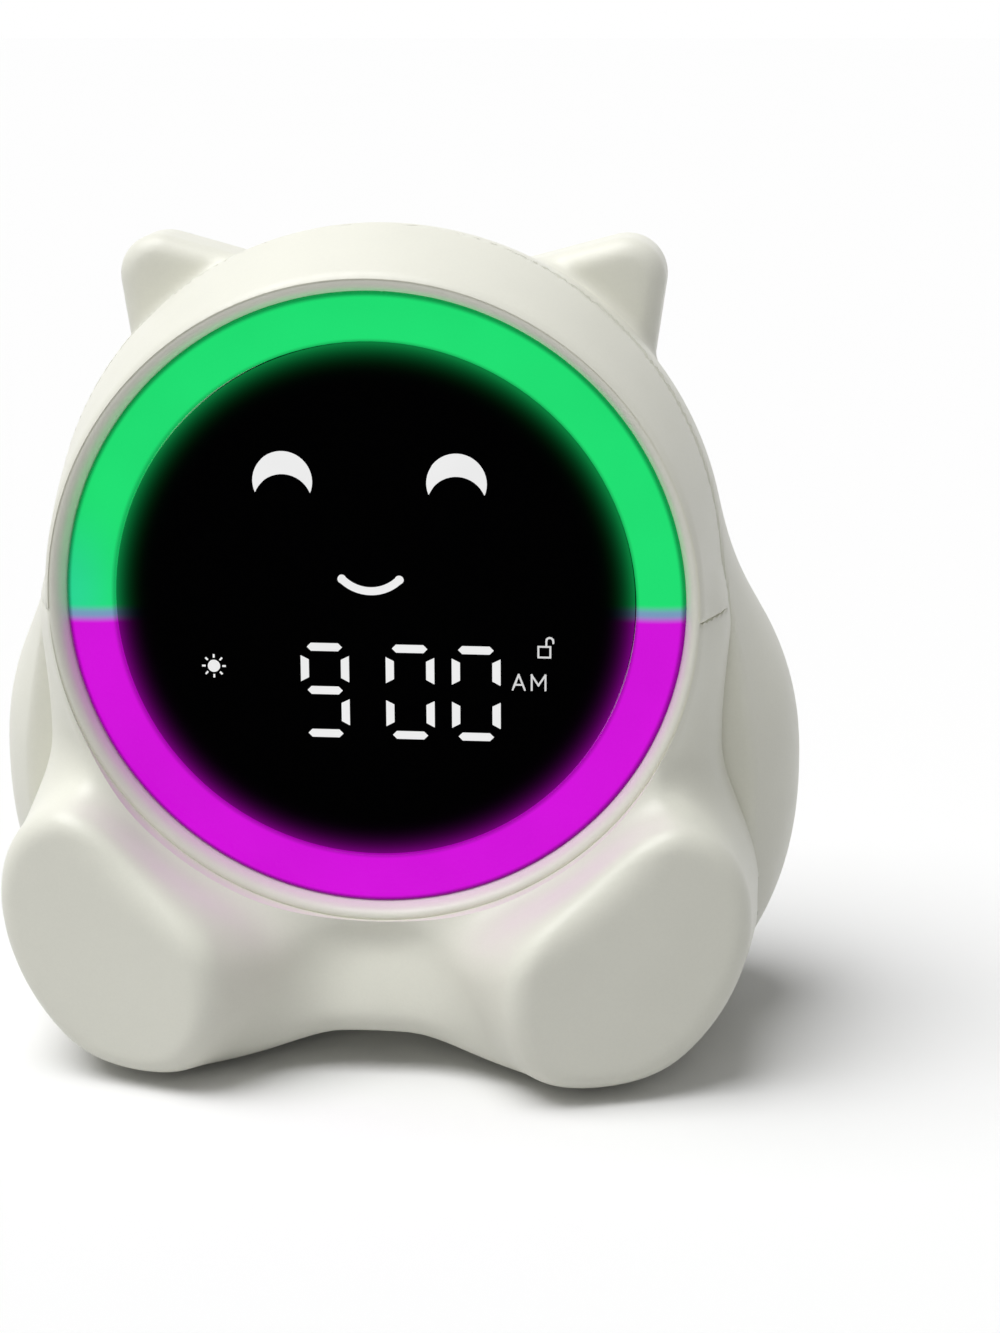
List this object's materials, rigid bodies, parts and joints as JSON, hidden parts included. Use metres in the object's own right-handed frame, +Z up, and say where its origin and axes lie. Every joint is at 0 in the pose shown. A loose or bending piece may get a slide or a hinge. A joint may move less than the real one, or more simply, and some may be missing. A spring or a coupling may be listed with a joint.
{
  "type": "kids alarm clock with night light",
  "caption": "Animal-shaped kids alarm clock with a round dark display, a smiling face, digits, a glowing light ring, stubby legs, ears and rear buttons.",
  "frame": {"origin": "middle of the clock's bounding box, on the table plane it stands on", "axes": "+Z up, the dial faces -Y, +X to the right seen from the front"},
  "size_m": [0.1486, 0.0883, 0.1491],
  "materials": {
    "front_shell": "satin moulded",
    "head_hood": "satin moulded",
    "rear_shell": "satin moulded",
    "bezel_ring": "satin moulded",
    "light_diffuser": "translucent",
    "display_lens": "smoked",
    "icon_guide": "translucent",
    "light_shield": "matt",
    "ring_reflector": "matt",
    "front_board": "lacquered board",
    "ring_lamps": "moulded",
    "display_lamps": "moulded",
    "face_chassis": "moulded",
    "main_board": "lacquered board",
    "board_chips": "moulded",
    "rear_panel": "satin moulded",
    "time_button": "satin moulded",
    "alarm_button": "satin moulded",
    "light_button": "satin moulded",
    "minus_button": "satin moulded",
    "plus_button": "satin moulded",
    "sound_button": "satin moulded",
    "button_board": "lacquered board",
    "button_switches": "moulded",
    "speaker": "black frame",
    "power_board": "lacquered board",
    "usb_socket": "plated",
    "battery_box": "moulded",
    "battery_cells": "printed sleeve",
    "battery_contacts": "plated",
    "battery_door": "satin moulded",
    "rubber_feet": "matt",
    "housing_screws": "zinc plated",
    "dial_screws": "zinc plated",
    "panel_screws": "zinc plated",
    "board_screws": "zinc plated"
  },
  "bodies": {
    "case": {"front_shell": "front_shell", "head_hood": "head_hood", "rear_shell": "rear_shell", "bezel_ring": "bezel_ring", "light_diffuser": "light_diffuser", "display_lens": "display_lens", "icon_guide": "icon_guide", "light_shield": "light_shield", "ring_reflector": "ring_reflector", "front_board": "front_board", "ring_lamps": "ring_lamps", "display_lamps": "display_lamps", "face_chassis": "face_chassis", "main_board": "main_board", "board_chips": "board_chips", "rear_panel": "rear_panel", "button_board": "button_board", "button_switches": "button_switches", "speaker": "speaker", "power_board": "power_board", "usb_socket": "usb_socket", "battery_box": "battery_box", "battery_cells": "battery_cells", "battery_contacts": "battery_contacts", "rubber_feet": "rubber_feet", "housing_screws": "housing_screws", "dial_screws": "dial_screws", "panel_screws": "panel_screws", "board_screws": "board_screws"},
    "time_key": {"time_button": "time_button"},
    "alarm_key": {"alarm_button": "alarm_button"},
    "light_key": {"light_button": "light_button"},
    "minus_key": {"minus_button": "minus_button"},
    "plus_key": {"plus_button": "plus_button"},
    "sound_key": {"sound_button": "sound_button"},
    "door": {"battery_door": "battery_door"}
  },
  "joints": [
    {"name": "time_press", "type": "slide", "parent": "case", "child": "time_key", "axis": [0, -1, 0], "range_m": [0, 0.0008], "stiffness_N_per_m": 450, "springref_m": -0.0006},
    {"name": "alarm_press", "type": "slide", "parent": "case", "child": "alarm_key", "axis": [0, -1, 0], "range_m": [0, 0.0008], "stiffness_N_per_m": 450, "springref_m": -0.0006},
    {"name": "light_press", "type": "slide", "parent": "case", "child": "light_key", "axis": [0, -1, 0], "range_m": [0, 0.0008], "stiffness_N_per_m": 450, "springref_m": -0.0006},
    {"name": "minus_press", "type": "slide", "parent": "case", "child": "minus_key", "axis": [0, -1, 0], "range_m": [0, 0.0008], "stiffness_N_per_m": 450, "springref_m": -0.0006},
    {"name": "plus_press", "type": "slide", "parent": "case", "child": "plus_key", "axis": [0, -1, 0], "range_m": [0, 0.0008], "stiffness_N_per_m": 450, "springref_m": -0.0006},
    {"name": "sound_press", "type": "slide", "parent": "case", "child": "sound_key", "axis": [0, -1, 0], "range_m": [0, 0.0008], "stiffness_N_per_m": 450, "springref_m": -0.0006},
    {"name": "door_slide", "type": "slide", "parent": "case", "child": "door", "axis": [0, 1, 0], "range_m": [0, 0.03]}
  ]
}
